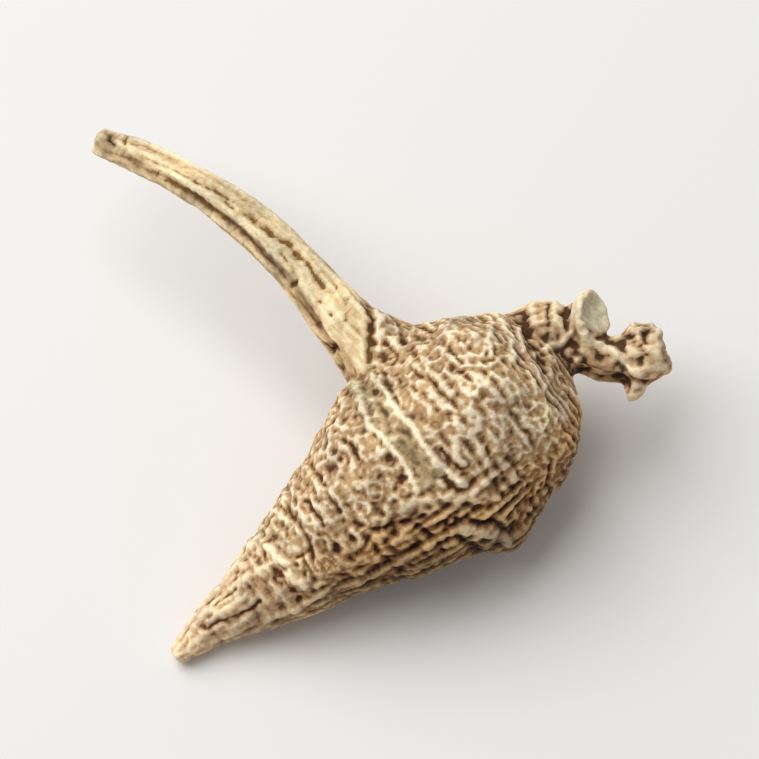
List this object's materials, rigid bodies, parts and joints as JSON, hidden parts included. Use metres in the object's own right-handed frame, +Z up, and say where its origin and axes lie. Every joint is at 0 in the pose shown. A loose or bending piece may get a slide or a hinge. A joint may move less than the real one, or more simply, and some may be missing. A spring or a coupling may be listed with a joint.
{
  "type": "ginseng root",
  "caption": "Dried ginseng root with a short fat ringed body, a curved side root, a tapering tail and a knobbed neck with stem scars; it lies flat on a surface.",
  "frame": {"origin": "middle of the footprint, on the surface that the root lies on", "axes": "+Z up from the surface; +X from the side root's tip towards the neck, the longest way across; +Y away from the tail"},
  "size_m": [0.0474, 0.043, 0.0173],
  "materials": {
    "bark": "dry, matte, wrinkled skin with cream ridges and dark brown grooves"
  },
  "bodies": {
    "root": {"ginseng_root": "bark"}
  },
  "joints": []
}
